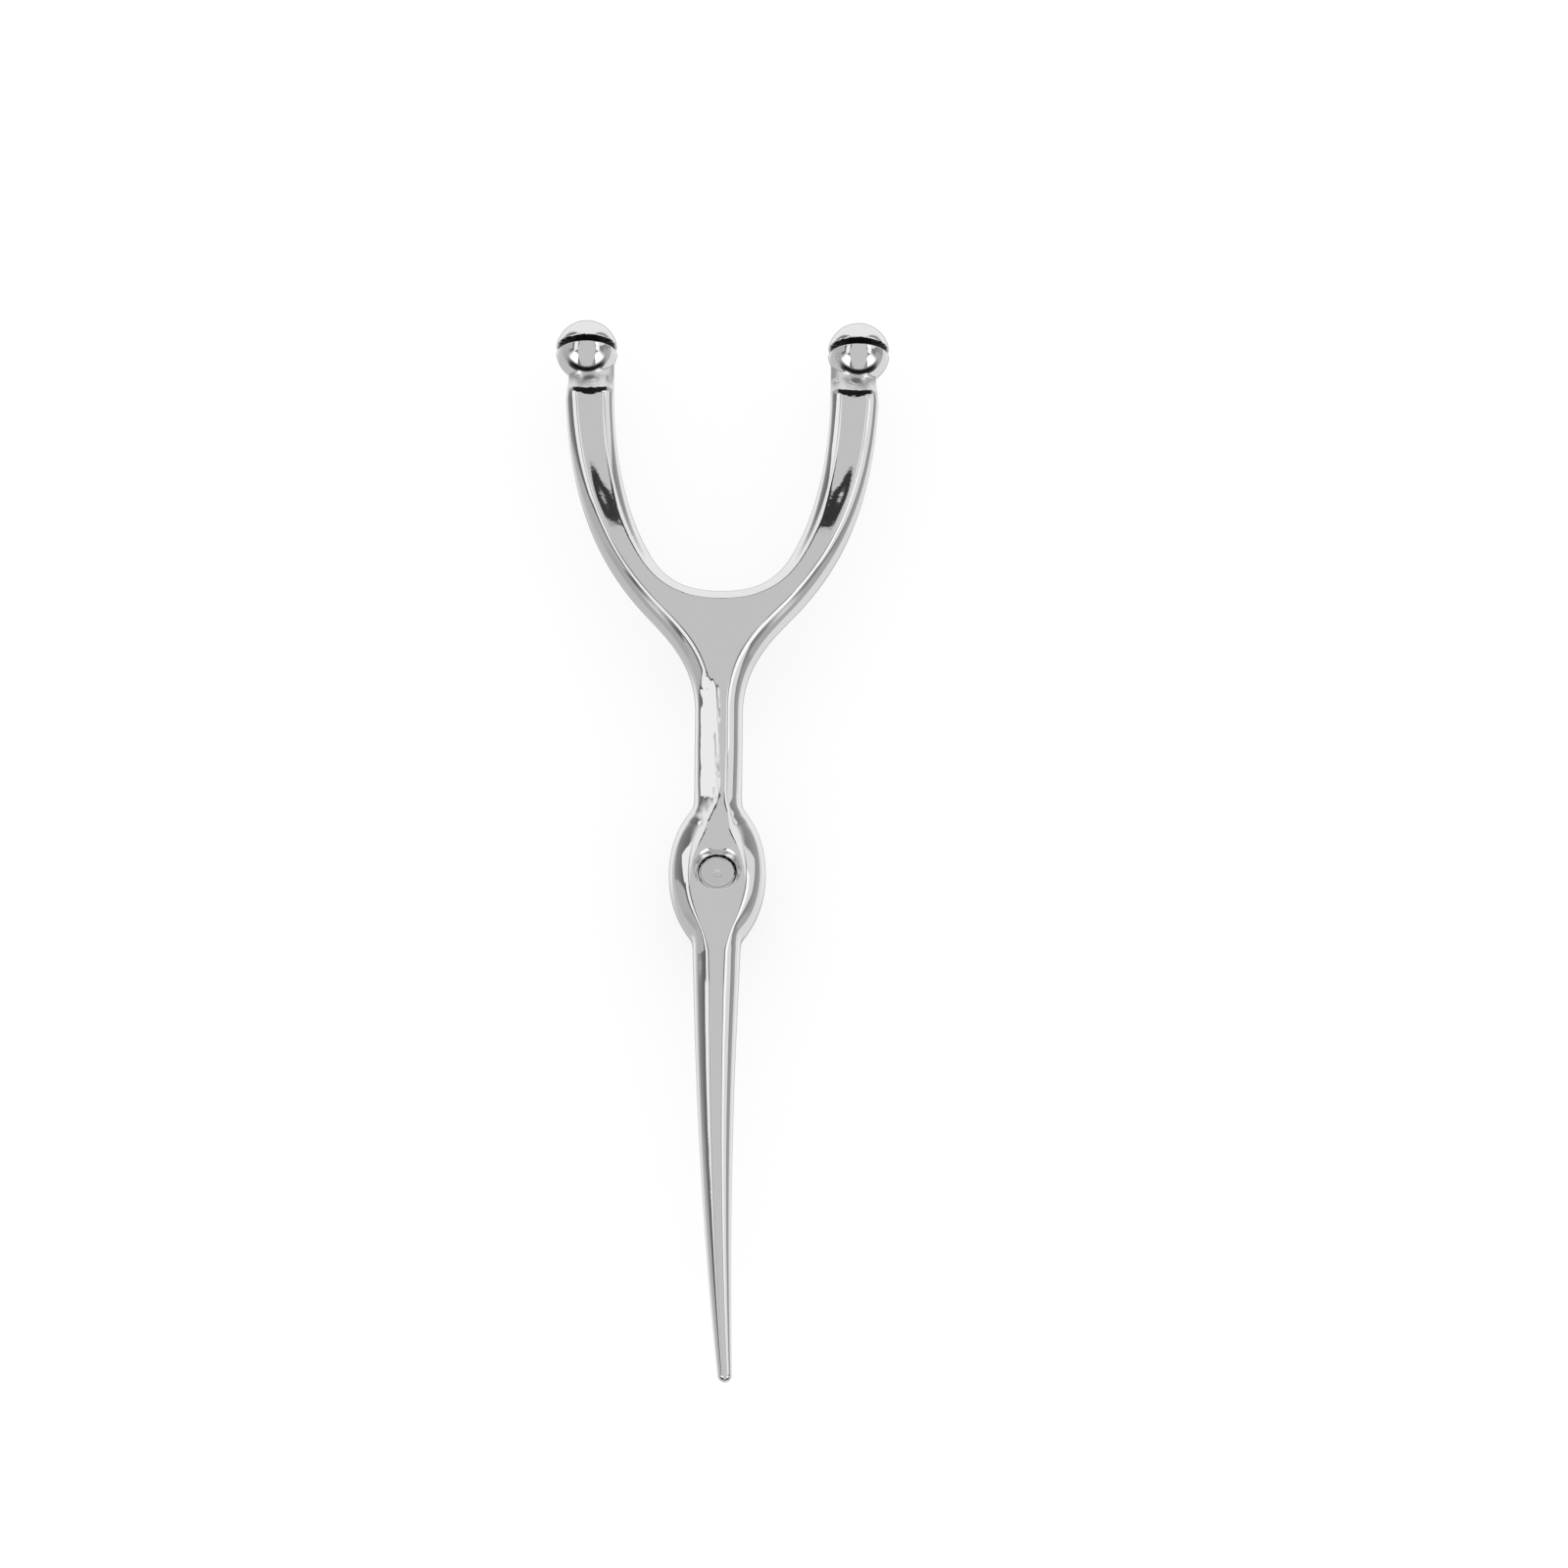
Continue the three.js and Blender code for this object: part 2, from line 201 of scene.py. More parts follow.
def edge_radius(y, half_width):
    """The edge rounding leaves a lens-shaped crown on the boss, and is tighter on the arms."""
    radius = EDGE_R + (ARM_EDGE_R - EDGE_R) * smooth_step(y, ARM_EDGE_LOW_Y, ARM_EDGE_TOP_Y)
    from_crown = abs(y - CROWN_Y)
    v = min(from_crown / CROWN_L, 1)
    crown = CROWN_MIN + CROWN_W * (1 - v * v) ** 1.5
    near = smooth_step(CROWN_L + CROWN_FADE - from_crown, 0, CROWN_EASE)
    radius += ((half_width - crown) / CROWN_SPREAD - radius) * near
    return min(EDGE_SHARE * half_width, radius)


def edge_points(point, normal, half_width):
    """From the parting line up to the flat, along a quarter ellipse."""
    radius = edge_radius(point[1], half_width)
    rows = [(point[0], point[1], 0.0)]
    for k in range(RING + 1):
        angle = k / RING * math.pi / 2
        x, y = point - normal * radius * (1 - math.cos(angle))
        share = PARTING_SHARE + (1 - PARTING_SHARE) * math.sin(angle)
        rows.append((x, y, half_thickness(y) * share))
    return np.array(rows)


def across(start, end, steps, last=False):
    """Points over the flat, between start and end, and the end itself if asked."""
    rows = []
    for i in range(1, steps + last):
        p = start + (end - start) * i / steps
        p[2] = half_thickness(p[1])
        rows.append(p)
    return np.array(rows)


# ---- Casting ---------------------------------------------------------------------------------------
def stem_rows():
    """Rows from the parting line to the middle: tail, boss, neck, and the flare up to the crotch."""
    # close together round the tip and over the boss
    stations = [NOSE * (1 - math.cos(a)) for a in np.linspace(0, math.pi / 2, 14)]
    stations += list(np.arange(0.6, 31, 0.32)) + list(np.arange(31.2, 45.2, 0.14))
    stations += list(np.arange(45.3, FLARE_Y - 0.1, 0.22))
    rows = []
    for y in stations:
        nearby = 0.004
        low, high = max(y - nearby, 0), y + nearby
        slope = (stem_half_width(high) - stem_half_width(low)) / (high - low)
        normal = np.array([1, -slope]) / math.hypot(1, slope)
        edge = edge_points(np.array([stem_half_width(y), y]), normal, stem_half_width(y))
        rows.append((edge, edge[-1, 1]))
    inner_y = INNER_LOW.at(0)[1]
    crotch = inner_y - edge_radius(inner_y, 2 * HALF_T)
    for i in range(CROTCH_STEPS):
        u = i / CROTCH_STEPS
        point = FLARE.at(u)
        edge = edge_points(point, FLARE.normal(u, 1), point[0])
        rows.append((edge, edge[-1, 1] + (crotch - edge[-1, 1]) * u**3))
    rows.append((edge_points(OUTER.at(0), OUTER.normal(0, 1), HALF_T * 2), crotch))
    out = []
    for edge, axis_y in rows:
        centre = np.array([0.0, axis_y, half_thickness(axis_y)])
        out.append(np.vstack([edge, across(edge[-1], centre, FACE, last=True)]))
    return out


def arm_rows():
    """Rows across an arm, from its outer to its inner outline: round the crotch first, then up the arm."""
    pairs = []
    for s in np.linspace(0, 1, LOW_ARM_STEPS, endpoint=False):
        pairs.append((s * OUTER_SPLIT, INNER_LOW, s))
    outer_end, inner_end = OUTER.parameter_at_y(ARM_TOP_Y), INNER_HIGH.parameter_at_y(ARM_TOP_Y)
    for s in np.linspace(0, 1, ARM_STEPS):
        pairs.append((OUTER_SPLIT + (outer_end - OUTER_SPLIT) * s, INNER_HIGH, s * inner_end))
    out = []
    for u, inner, v in pairs:
        outer_edge = edge_points(OUTER.at(u), OUTER.normal(u, 1), HALF_T * 2)
        inner_edge = edge_points(inner.at(v), inner.normal(v, -1), HALF_T * 2)
        flat = across(outer_edge[-1], inner_edge[-1], FACE)
        out.append(np.vstack([outer_edge, flat, inner_edge[::-1]]))
    return out


def collar_rows(arm_end):
    """The arm steps up to an oval collar, which is hollowed out towards the ball like a saddle."""
    centre = (arm_end[0, 0] + arm_end[-1, 0]) / 2
    half = (arm_end[0, 0] - arm_end[-1, 0]) / 2
    across_arm = (arm_end[:, 0] - centre) / half
    rise = np.sqrt(np.clip(1 - across_arm**2, 0, 1))
    crest_y = STEP_Y + STEP_L
    fine, coarse = 0.015, 0.07
    levels = list(np.arange(ARM_TOP_Y + fine, 74.9, fine)) + list(np.arange(74.95, TONGUE_Y, coarse))
    out = []
    for level in levels:
        settled = smooth_step(level, ARM_TOP_Y, NECK_Y)
        x = centre - INWARD * settled + across_arm * (half - INWARD * settled)
        y = level + (arm_end[:, 1] - ARM_TOP_Y) * (1 - settled)
        shoulder = STEP_Y + STEP_BOW * (across_arm * half) ** 2
        climbed = np.clip((y - shoulder) / STEP_L, 0, 1)
        climbed += 0.12 * np.sin(math.pi * climbed)    # steepest at its foot
        scoop = NECK_T + (CREST_T - NECK_T) * np.clip((NECK_Y - y) / (NECK_Y - crest_y), 0, None)
        collar = scoop * rise ** (1 + 0.6 * settled)   # an ellipse, more pointed towards the ball
        z = arm_end[:, 2] + (collar - arm_end[:, 2]) * np.minimum(climbed, 1)
        z = np.where(across_arm**2 > 0.9999, 0.0, np.clip(z, 0, None))
        out.append(np.column_stack([x, y, z]))
    closing = out[-1].copy()
    closing[:, 1] += 0.01
    closing[:, 2] = 0
    out.append(closing)
    return out


def lean(y):
    """How far the tail bends towards +x."""
    return LEAN_AT_TIP * np.clip(1 - y / LEAN_START_Y, 0, None) ** 2


def mirrored_shell(grids):
    """The grids of one quarter, mirrored into the closed skin of the whole casting."""
    points, faces = [], []
    for mx, mz in ((1, 1), (-1, 1), (1, -1), (-1, -1)):
        for rows in grids:
            grid = np.array(rows)
            n, m = grid.shape[:2]
            base = sum(len(p) for p in points)
            points.append(grid.reshape(-1, 3) * (mx, 1, mz))
            for i in range(n - 1):
                for j in range(m - 1):
                    a = base + i * m + j
                    quad = [a, a + m, a + m + 1, a + 1]
                    faces.append(quad if mx * mz > 0 else quad[::-1])
    return np.vstack(points), faces


def mesh_object(name, points, faces):
    """A mesh object from points in millimetres in the casting's frame."""
    merge = 1e-4
    bm = bmesh.new()
    made = [bm.verts.new(p) for p in points]
    for face in faces:
        bm.faces.new([made[i] for i in face])
    bmesh.ops.remove_doubles(bm, verts=bm.verts, dist=merge)
    bmesh.ops.dissolve_degenerate(bm, edges=bm.edges, dist=merge / 2)
    bmesh.ops.recalc_face_normals(bm, faces=bm.faces)
    mesh = bpy.data.meshes.new(name)
    bm.to_mesh(mesh)
    bm.free()
    obj = bpy.data.objects.new(name, mesh)
    bpy.context.scene.collection.objects.link(obj)
    return obj


def lathe(name, profile, segments, axis, at):
    """A closed solid of revolution. Its profile of (radius, height) is closed or ends on the axis."""
    closed = profile[0] == profile[-1]
    ring = profile[:-1] if closed else profile
    points, faces = [], []
    for r, h in ring:
        for k in range(segments):
            a = 2 * math.pi * k / segments
            c, s = r * math.cos(a), r * math.sin(a)
            offset = (c, h, s) if axis == "Y" else (c, s, h)
            points.append(tuple(o + v for o, v in zip(at, offset)))
    n = len(ring)
    for i in range(n if closed else n - 1):
        for k in range(segments):
            a, b = i * segments, (i + 1) % n * segments
            faces.append((a + k, a + (k + 1) % segments, b + (k + 1) % segments, b + k))
    return mesh_object(name, points, faces)


def boolean(target, other, operation):
    """Joins the other object to the target, or cuts it out, and removes the other."""
    modifier = target.modifiers.new("cut", "BOOLEAN")
    modifier.operation, modifier.object, modifier.solver = operation, other, "MANIFOLD"
    bpy.context.view_layer.update()
    evaluated = target.evaluated_get(bpy.context.evaluated_depsgraph_get())
    mesh = bpy.data.meshes.new_from_object(evaluated)
    target.modifiers.remove(modifier)
    target.data = mesh
    bpy.data.objects.remove(other)


def arc(cx, cy, r, start, end, steps):
    angles = np.radians(np.linspace(start, end, steps + 1))
    return [(cx + r * math.cos(a), cy + r * math.sin(a)) for a in angles]


def ball(side):
    """A ball with a rounded-lip groove right round it, turned about the arm's direction."""
    lip, root = 0.05, 0.06
    low = math.degrees(-GROOVE_LIP - lip / BALL_R)
    profile = arc(0, 0, BALL_R, -90, low, 34)
    profile += arc(BALL_R * math.cos(GROOVE_LIP) - lip, -GROOVE_W / 2 - lip, lip, 0, 90, 4)
    profile += [(r, -GROOVE_W / 2) for r in (1.9, 1.6, 1.3)]
    profile += [(GROOVE_CORE_R + root, -GROOVE_W / 2), (GROOVE_CORE_R, -GROOVE_W / 2 + root)]
    profile += [(r, -h) for r, h in profile[::-1]]
    profile[0], profile[-1] = (0.0, -BALL_R), (0.0, BALL_R)
    obj = lathe("ball", profile, BALL_SEGMENTS, "Y", (side * BALL_X, BALL_Y, 0))
    rough_lips(obj, side)
    return obj


def wave(p, seed, scale):
    """A smooth pseudo-random field between about -1 and 1, from sines in mixed directions."""
    sines, highest = 7, 3.2
    rng = np.random.default_rng(seed)
    total = np.zeros(len(p))
    for _ in range(sines):
        heading = rng.normal(size=3)
        heading *= rng.uniform(0.7, 1.5) / np.linalg.norm(heading) / scale
        total += np.sin(2 * math.pi * (p @ heading) + rng.uniform(0, 6.28))
    return total / highest


def read_points(obj):
    co = np.empty(len(obj.data.vertices) * 3)
    obj.data.vertices.foreach_get("co", co)
    return co.reshape(-1, 3)


def write_points(obj, p):
    obj.data.vertices.foreach_set("co", p.ravel())
    obj.data.update()


def rough_lips(obj, side):
    """The groove's upper lip is left ragged where the cutter broke out, the lower one much less so."""
    p = read_points(obj)
    h = p[:, 1] - BALL_Y
    near = np.exp(-((h - GROOVE_W / 2) / 0.13) ** 2) + 0.25 * np.exp(-((h + GROOVE_W / 2) / 0.1) ** 2)
    radial = np.hypot(p[:, 0] - side * BALL_X, p[:, 2])
    near *= smooth_step(radial, 1.7, 2.0)
    up_down, worn_off = 0.02, 0.008
    ragged = wave(p, 5 + side, 0.5) + 0.8 * wave(p, 8 + side, 0.22)
    p[:, 1] += up_down * near * ragged
    scale = 1 - worn_off * near * np.abs(wave(p, 9 + side, 0.3))
    p[:, 0] = side * BALL_X + (p[:, 0] - side * BALL_X) * scale
    p[:, 2] *= scale
    write_points(obj, p)


def arm_centre(y):
    """Middle of the arm at a height, between its outer and inner outlines."""
    levels = np.linspace(62.1, ARM_TOP_Y, 40)
    outer = [OUTER.at(OUTER.parameter_at_y(v))[0] for v in levels]
    inner = [INNER_HIGH.at(INNER_HIGH.parameter_at_y(v))[0] for v in levels]
    return np.interp(y, levels, (np.array(outer) + inner) / 2)


def polish_dips(p):
    """A shallow, slightly rippled polishing dip along the middle of each arm's flats."""
    dip, ripple = 0.042, 0.001
    x, y = np.abs(p[:, 0]), p[:, 1]
    aside = x - arm_centre(y)
    middle = smooth_step(aside, -1.1, -0.25) * (1 - smooth_step(aside, -0.15, 0.6))
    depth = dip * smooth_step(y, 63.6, 67.3) * (1 - smooth_step(y, 66.8, 71.3)) * middle
    rippled = smooth_step(y, 63.2, 63.9) * (1 - smooth_step(y, 67, 67.7))
    depth += ripple * wave(p, 81, 0.42) * middle * rippled
    on_flats = np.abs(p[:, 2]) > 0.3
    p[:, 2] -= np.sign(p[:, 2]) * np.where(on_flats, depth, 0)


def gate_marks(p):
    """Rough little lumps on each collar, where the casting's gates were broken off."""
    x, y, z = np.abs(p[:, 0]), p[:, 1], p[:, 2]
    rough = wave(p, 61, 0.24) + 0.6 * wave(p, 62, 0.13)
    lump, ragged, scar = 0.05, 0.1, 0.05
    on_collar = y < BALL_Y - 1.9
    for inwards, below, size in ((0.42, 2.75, 0.2), (1.5, 2.3, 0.22)):
        gate_x, gate_y = BALL_X - inwards, BALL_Y - below
        near = np.exp(-((x - gate_x) ** 2 + (y - gate_y) ** 2) / size**2) * on_collar
        p[:, 2] += np.sign(z) * near * (lump + ragged * rough) * (np.abs(z) > 0.1)
        p[:, 0] -= np.sign(p[:, 0]) * near * scar * np.abs(rough) * (x < BALL_X - 1)


def ground_neck(p):
    """The neck's front was polished on a slant: a second flat on its left falls away to the side."""
    slant, bow = math.tan(math.radians(14.6)), 0.06
    x, y, z = p[:, 0], p[:, 1], p[:, 2]
    t = np.array([half_thickness(v) for v in y])
    # the ridge between both flats is a little uneven, and runs off to the left at both ends
    ridge = 0.1 + 0.03 * np.sin(y * 2.3) + 0.03 * wave(p, 71, 0.4)
    ridge -= 1.4 * smooth_step(y, 51.4, 53.4) + 1.6 * (1 - smooth_step(y, 39.4, 43.6))
    aside = np.minimum(x - ridge, 0)
    plane = t + slant * (x - ridge) - bow * aside**2
    cut = smooth_min(z, plane, 0.02)
    reach = smooth_step(y, 39.4, 41) * (1 - smooth_step(y, 52.5, 53.5)) * (x > -1.5)
    touched = (z > 0) & (plane < z + 0.1) & (reach > 0)
    p[:, 2] = np.where(touched, z + (np.minimum(cut, z) - z) * reach, z)


def finish_mesh(obj, sharp_degrees):
    """Into the CAD frame, in metres, smooth apart from its real edges."""
    same_point, no_length = 2e-6, 5e-7
    mesh = obj.data
    mesh.transform(Matrix.Diagonal((MM, MM, MM, 1)) @ Matrix.Translation((0, TIP_Y, MID_Z)))
    bm = bmesh.new()
    bm.from_mesh(mesh)
    bmesh.ops.remove_doubles(bm, verts=bm.verts, dist=same_point)
    bmesh.ops.dissolve_degenerate(bm, edges=bm.edges, dist=no_length)
    bmesh.ops.recalc_face_normals(bm, faces=bm.faces)
    limit = math.radians(sharp_degrees)
    for edge in bm.edges:
        edge.smooth = len(edge.link_faces) == 2 and edge.calc_face_angle(0) < limit
    for face in bm.faces:
        face.smooth = True
    bm.to_mesh(mesh)
    bm.free()


def make_casting():
    """The whole casting: skin, hand polishing, balls, the screw's hole and the washer's seat."""
    arms = arm_rows()
    points, faces = mirrored_shell([stem_rows(), arms + collar_rows(arms[-1])])
    casting = mesh_object("casting", points, faces)
    p = read_points(casting)
    ground_neck(p)
    polish_dips(p)
    gate_marks(p)
    ripple = 0.0018 * wave(p, 21, 3.1) * smooth_step(p[:, 1], 3, 8)    # none on the tip
    p[:, 2] += ripple * np.sign(p[:, 2]) * np.minimum(np.abs(p[:, 2]), 1)
    p[:, 0] += lean(p[:, 1])
    write_points(casting, p)
    for side in (-1, 1):
        boolean(casting, ball(side), "UNION")
    front = HALF_T + BOSS_RISE
    beyond = 3.0                 # clear of the casting's faces
    floor_z, lip = front - SINK_DEPTH, 0.06
    hole = [(0, -beyond), (HOLE_R, -beyond), (HOLE_R, floor_z - 0.04), (HOLE_R + 0.03, floor_z)]
    hole += [(SINK_R - 0.1, front - 0.2), (SINK_R - 0.03, front - 0.09), (SINK_R + lip, front - 0.005)]
    hole += [(SINK_R + lip + 0.02, beyond), (0, beyond)]
    boolean(casting, lathe("hole", hole, BORE_SEGMENTS, "Z", (0, SCREW_Y, 0)), "DIFFERENCE")
    seat = [(0, -beyond), (SEAT_R, -beyond), (SEAT_R, SEAT_Z), (0, SEAT_Z)]
    boolean(casting, lathe("seat", seat, BORE_SEGMENTS, "Z", (0, SCREW_Y, 0)), "DIFFERENCE")
    finish_mesh(casting, 33)
    # painted shade and painted dark reflections, kept as vertex values for the material
    painted_shade_and_reflection(casting)
    return casting


def painted_shade_and_reflection(casting):
    """Paints two vertex values: one of painted shade and painted dark reflections, which darkens the colour,
    and "dull".

    The painted shade lies on the groove's walls; the painted dark reflections lie on the steps below the
    collars and in a crescent under each ball. The saddles of the collars are dull.
    """
    p = read_points(casting) / MM - (0, TIP_Y, MID_Z)
    from_axis = np.abs(p[:, 0]) - BALL_X
    height = np.abs(p[:, 1] - BALL_Y)
    groove_depth = BALL_R - np.hypot(from_axis, p[:, 2])
    # painted shade on the groove's walls, where light bouncing inside the groove leaves it dark
    inside = 0.87 * smooth_step(groove_depth, 0.07, 0.16) * (height < GROOVE_W / 2 + 0.03)

    # the step, up to a ragged edge, and only where it faces the front or the back: a painted dark reflection
    from_middle = from_axis + 0.25
    up_step = p[:, 1] - STEP_Y - STEP_BOW * from_middle**2 + 0.03 * wave(p, 51, 0.5)
    step = smooth_step(up_step, -0.03, 0.0) * (1 - smooth_step(up_step, STEP_L - 0.02, STEP_L + 0.02))
    step *= smooth_step(1.25 - np.abs(from_middle), 0, 0.15) * (np.abs(p[:, 2]) > 0.5)
    inside = np.maximum(inside, step)

    # the crescent, a painted dark reflection on the ball, lies between two ovals, which are square to a line
    # that slants towards the tail
    tilt = math.radians(25.7)
    below = (math.cos(tilt) * (BALL_Y - p[:, 1]) - math.sin(tilt) * np.abs(p[:, 2])) / BALL_R
    aside = from_axis / BALL_R
    outer, inner = np.hypot(aside, below), np.hypot(aside / 1.12, below + 0.08)
    crescent = (1 - smooth_step(outer, 0.67, 0.71)) * smooth_step(inner, 0.58, 0.62)
    crescent *= smooth_step(below, 0.15, 0.45)
    from_centre = np.sqrt(from_axis**2 + (p[:, 1] - BALL_Y) ** 2 + p[:, 2] ** 2)
    inside = np.maximum(inside, crescent * (np.abs(from_centre - BALL_R) < 0.012))

    saddle = smooth_step(p[:, 1], STEP_Y + 0.2, STEP_Y + 0.35)
    saddle *= (from_centre > BALL_R + 0.004) * (height > 1)
    for name, values in (("painted_shade_and_reflection", inside), ("dull", saddle)):
        layer = casting.data.attributes.new(name, "FLOAT", "POINT")
        layer.data.foreach_set("value", values.astype(np.float32))


# ---- Thumb screw and washer ------------------------------------------------------------------------
def make_screw():
    """Head with gripping flutes, a single-start thread and a faced end with the lathe's pip."""
    bottom = KNOB_TOP - KNOB_H
    angles = 2 * math.pi * np.arange(SCREW_SEGMENTS) / SCREW_SEGMENTS
    flute_r = 0.35
    reach = KNOB_R + flute_r - GRIP_DEPTH
    off = ((angles * GRIPS / (2 * math.pi) + 0.5) % 1 - 0.5) * 2 * math.pi / GRIPS
    inside = np.clip(flute_r**2 - (reach * np.sin(off)) ** 2, 0, None)
    in_flute = np.abs(reach * np.sin(off)) < flute_r
    fluted = np.where(in_flute, reach * np.cos(off) - np.sqrt(inside), KNOB_R)
    fluted = smooth_min(fluted, np.full(SCREW_SEGMENTS, KNOB_R), 0.03)
    rings = []

    def ring(radius, z):
        radius = np.zeros(SCREW_SEGMENTS) + radius
        height = np.full(SCREW_SEGMENTS, z)
        rings.append(np.column_stack([radius * np.cos(angles), radius * np.sin(angles), height]))

    def head_ring(inset, z):
        ring(np.minimum(fluted, KNOB_R - inset), z)

    # the head: a shallow centre mark in its end, a rounded rim, the fluted side, the other rim
    for r, h in ((0.0, 0.03), (0.9, 0.03), (1.0, 0), (KNOB_R - KNOB_CHAMFER - 0.05, 0)):
        ring(r, bottom + h)
    for a in np.radians(np.linspace(0, 90, 7)):
        head_ring(KNOB_CHAMFER * (1 - math.sin(a)), bottom + KNOB_CHAMFER * (1 - math.cos(a)))
    for z in np.linspace(bottom + KNOB_CHAMFER, KNOB_TOP - KNOB_CHAMFER, 8)[1:-1]:
        head_ring(0, z)
    for a in np.radians(np.linspace(90, 0, 7)):
        head_ring(KNOB_CHAMFER * (1 - math.sin(a)), KNOB_TOP - KNOB_CHAMFER * (1 - math.cos(a)))
    ring(1.5, KNOB_TOP)
    ring(ROOT_R + 0.05, KNOB_TOP)

    # the thread, which runs out above the head
    for z in np.arange(KNOB_TOP + 0.05, SCREW_END - END_CHAMFER + 1e-6, 0.03):
        turn = (z / PITCH - angles / (2 * math.pi)) % 1
        height = np.clip(1.35 - 2.6 * np.abs(turn - 0.5), 0.0, 0.75) / 0.75
        height *= smooth_step(z, KNOB_TOP + 0.15, KNOB_TOP + 0.5)
        ring(ROOT_R + (CREST_R - ROOT_R) * height, z)

    # the end: a rounded rim, then faint turning waves down to the pip
    end_r, rim = 1.14, 0.06
    for a in np.radians(np.linspace(0, 90, 6)):
        ring(end_r - rim + rim * math.cos(a), SCREW_END - rim + rim * math.sin(a))
    waves = ((0.9, -0.004), (0.62, 0.003), (0.42, -0.002), (0.3, -0.01), (0.2, -0.03), (0.12, -0.01))
    for r, h in (*waves, (0.07, 0), (0, 0)):
        ring(r, SCREW_END + h)

    points = np.vstack(rings) + (0, SCREW_Y, 0)
    faces = []
    for i in range(len(rings) - 1):
        for k in range(SCREW_SEGMENTS):
            a, b, n = i * SCREW_SEGMENTS, (i + 1) * SCREW_SEGMENTS, (k + 1) % SCREW_SEGMENTS
            faces.append((a + k, a + n, b + n, b + k))
    screw = mesh_object("screw", points, faces)
    p = read_points(screw)
    on_end = np.abs(p[:, 2] - SCREW_END) < 0.05
    radius = np.hypot(p[:, 0], p[:, 1] - SCREW_Y)
    p[:, 2] += np.where(on_end, 0.006 * wave(p, 31, 0.9) * smooth_step(radius, 0.0, 0.4), 0)
    write_points(screw, p)
    finish_mesh(screw, 38)
    return screw


def make_washer():
    """A stamped washer: rolled over on its upper edge, with a small burr line below."""
    top, bottom = WASHER_TOP, WASHER_TOP - WASHER_T
    soft, crisp = 0.1, 0.03
    profile = arc(WASHER_BORE + crisp, bottom + crisp, crisp, 180, 270, 3)
    profile += arc(WASHER_R - crisp, bottom + crisp, crisp, 270, 360, 3)
    profile += arc(WASHER_R - soft, top - soft, soft, 0, 90, 6)
    profile += arc(WASHER_BORE + soft, top - soft, soft, 90, 180, 6)
    profile.append(profile[0])
    washer = lathe("washer", profile, WASHER_SEGMENTS, "Z", (0, SCREW_Y, 0))
    p = read_points(washer)
    p[:, 2] += 0.008 * wave(p, 41, 2.2)
    write_points(washer, p)
    finish_mesh(washer, 40)
    return washer


# ---- Materials -------------------------------------------------------------------------------------
class Graph:
    """Short names for building a node tree."""

    def __init__(self, tree):
        self.tree = tree

    def add(self, kind, inputs=None, **settings):
        """A node, with each input linked to another node's socket or set to a value."""
        node = self.tree.nodes.new(kind)
        for key, value in settings.items():
            setattr(node, key, value)
        for key, value in (inputs or {}).items():
            socket = node.inputs[key]
            if isinstance(value, bpy.types.NodeSocket):
                self.tree.links.new(value, socket)
            else:
                socket.default_value = value
        return node

    def math(self, operation, a, b=0.0):
        return self.add("ShaderNodeMath", {0: a, 1: b}, operation=operation).outputs[0]

    def dot(self, a, b):
        return self.add("ShaderNodeVectorMath", {0: a, 1: b}, operation="DOT_PRODUCT").outputs["Value"]

    def ramp(self, value, low, high, out_low=0.0, out_high=1.0, kind="SMOOTHSTEP"):
        """Goes from out_low to out_high as the value goes from low to high."""
        inputs = {"Value": value, "From Min": low, "From Max": high, "To Min": out_low, "To Max": out_high}
        return self.add("ShaderNodeMapRange", inputs, interpolation_type=kind).outputs["Result"]

    def mix(self, factor, a, b):
        """a + (b - a) * factor, for numbers."""
        return self.add("ShaderNodeMix", {0: factor, 2: a, 3: b}, data_type="FLOAT").outputs[0]

    def noise(self, where, scale, detail=2.0, roughness=0.5):
        inputs = {"Vector": where, "Scale": scale, "Detail": detail, "Roughness": roughness}
        return self.add("ShaderNodeTexNoise", inputs).outputs["Fac"]


